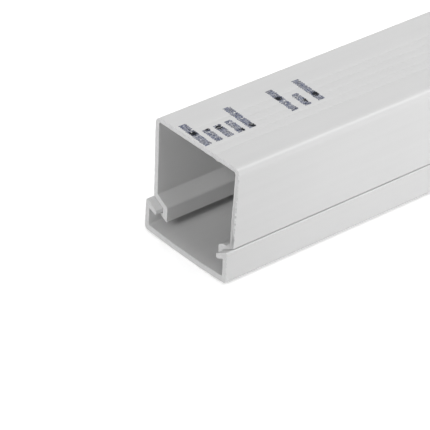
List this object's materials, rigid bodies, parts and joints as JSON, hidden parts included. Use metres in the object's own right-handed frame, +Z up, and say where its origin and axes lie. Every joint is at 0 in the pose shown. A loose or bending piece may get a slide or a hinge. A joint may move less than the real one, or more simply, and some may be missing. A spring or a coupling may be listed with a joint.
{
  "type": "cable trunking",
  "caption": "Straight square cable trunking: a channel with leaning walls and inward snap legs, closed by a low clip-on cover with wedge lips.",
  "frame": {"origin": "middle of the bottom of the whole part's box: halfway along the length, on the middle of the cover's outer face, which it lies on", "axes": "+X along the length, from the end where the cover stands proud; +Z up, out of the back of the base channel; +Y across"},
  "size_m": [2.0028, 0.04, 0.0413],
  "materials": {
    "base_plastic": "white rigid PVC with the low sheen and fine lengthwise lines of an extrusion",
    "cover_plastic": "white rigid PVC with the low sheen and fine lengthwise lines of an extrusion"
  },
  "bodies": {
    "base": {"trunking_base": "base_plastic"},
    "cover": {"trunking_cover": "cover_plastic"}
  },
  "joints": [
    {"name": "cover_slide", "type": "slide", "parent": "base", "child": "cover", "axis": [1, 0, 0], "range_m": [-2, 2]}
  ]
}
